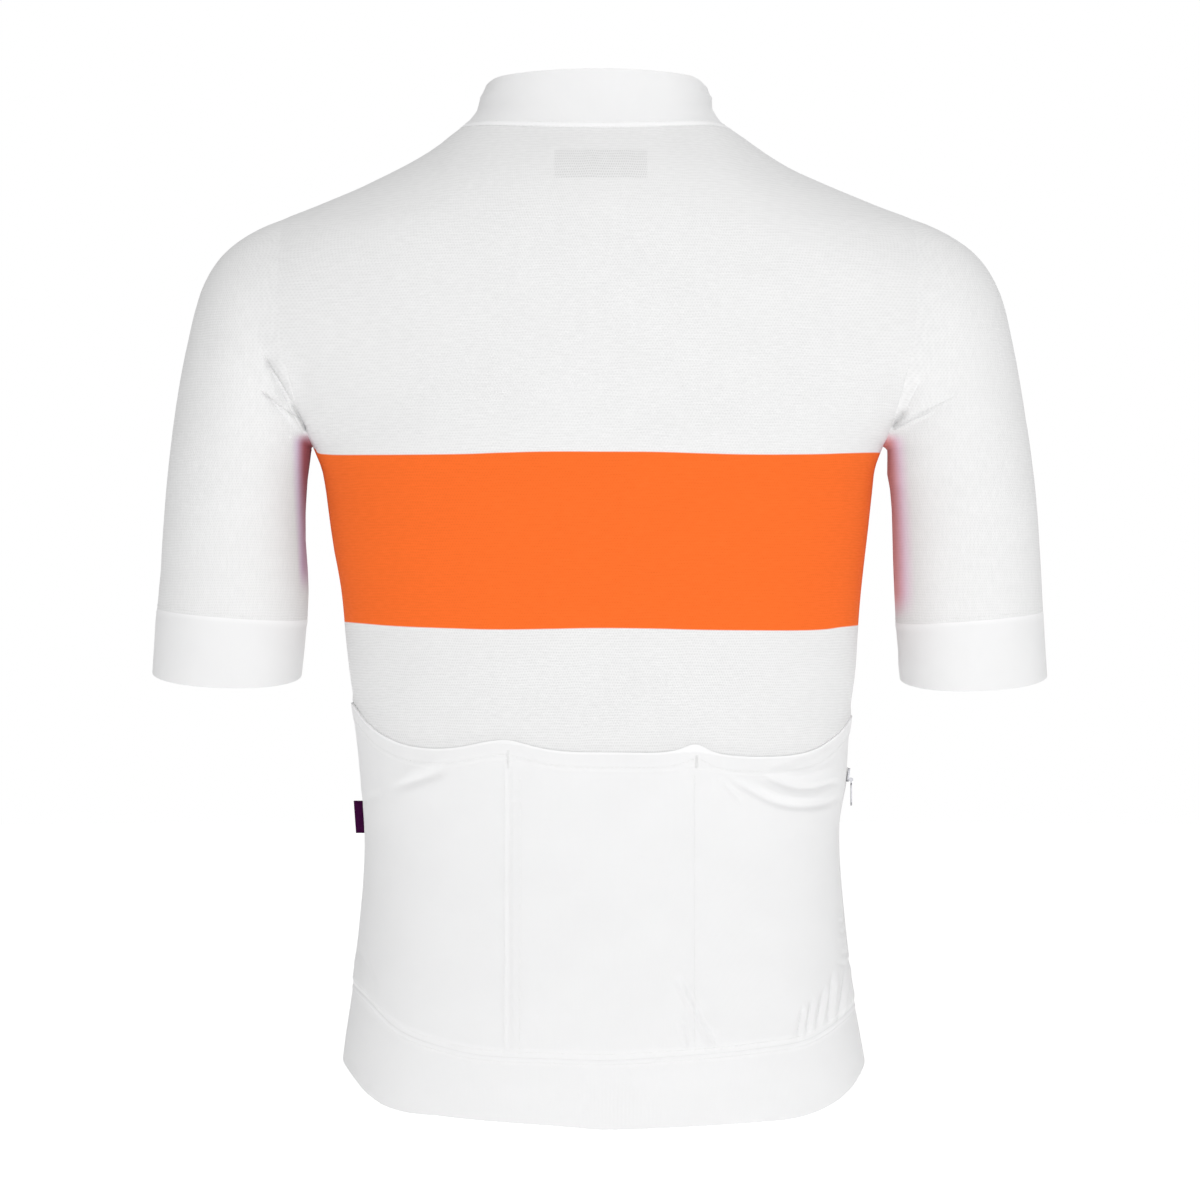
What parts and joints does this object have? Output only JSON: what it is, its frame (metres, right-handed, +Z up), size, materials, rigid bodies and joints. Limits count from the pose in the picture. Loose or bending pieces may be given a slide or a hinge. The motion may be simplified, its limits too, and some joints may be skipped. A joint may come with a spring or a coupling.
{
  "type": "cycling jersey",
  "caption": "Short-sleeved cycling jersey in its worn shape: stand collar, set-in sleeves with flat cuffs, chest band, rear pocket panel, side zip, front zip and drop-tail hem band.",
  "frame": {"origin": "in the middle of the neck at shoulder height, where the wearer's shoulders hold the jersey up", "axes": "+Z up, +X to the wearer's right, -Y towards the back of the jersey, which is the side with the pockets"},
  "size_m": [0.5836, 0.2309, 0.6737],
  "materials": {
    "knit": "fine open knit, matt; orange band across the chest shown in the visual model",
    "smooth_cloth": "smooth stretch cloth, slight sheen",
    "zip_tape": "woven tape with a plastic coil",
    "zip_metal": "satin",
    "side_label": "woven, matt",
    "neck_label": "woven, matt"
  },
  "bodies": {
    "jersey": {"back_panel": "knit", "front_left": "knit", "front_right": "knit", "sleeve_left": "knit", "sleeve_right": "knit", "cuff_left": "smooth_cloth", "cuff_right": "smooth_cloth", "collar": "smooth_cloth", "hem_band": "smooth_cloth", "pocket_panel": "smooth_cloth", "front_zip_tape_left": "zip_tape", "front_zip_tape_right": "zip_tape", "side_zip_tape": "zip_tape", "front_zip_slider": "zip_metal", "side_zip_slider": "zip_metal", "side_label": "side_label", "neck_label": "neck_label"},
    "side_pull": {"side_zip_pull": "zip_metal"},
    "front_pull": {"front_zip_pull": "zip_metal"}
  },
  "joints": [
    {"name": "side_pull_hinge", "type": "hinge", "parent": "jersey", "child": "side_pull", "pos_m": [0.16362, 0.0071, -0.42397], "axis": [0, -1, 0], "range_deg": [0, 150]},
    {"name": "front_pull_hinge", "type": "hinge", "parent": "jersey", "child": "front_pull", "pos_m": [-0.0015, 0.07574, -0.031], "axis": [1, 0, 0], "range_deg": [0, 150]}
  ]
}
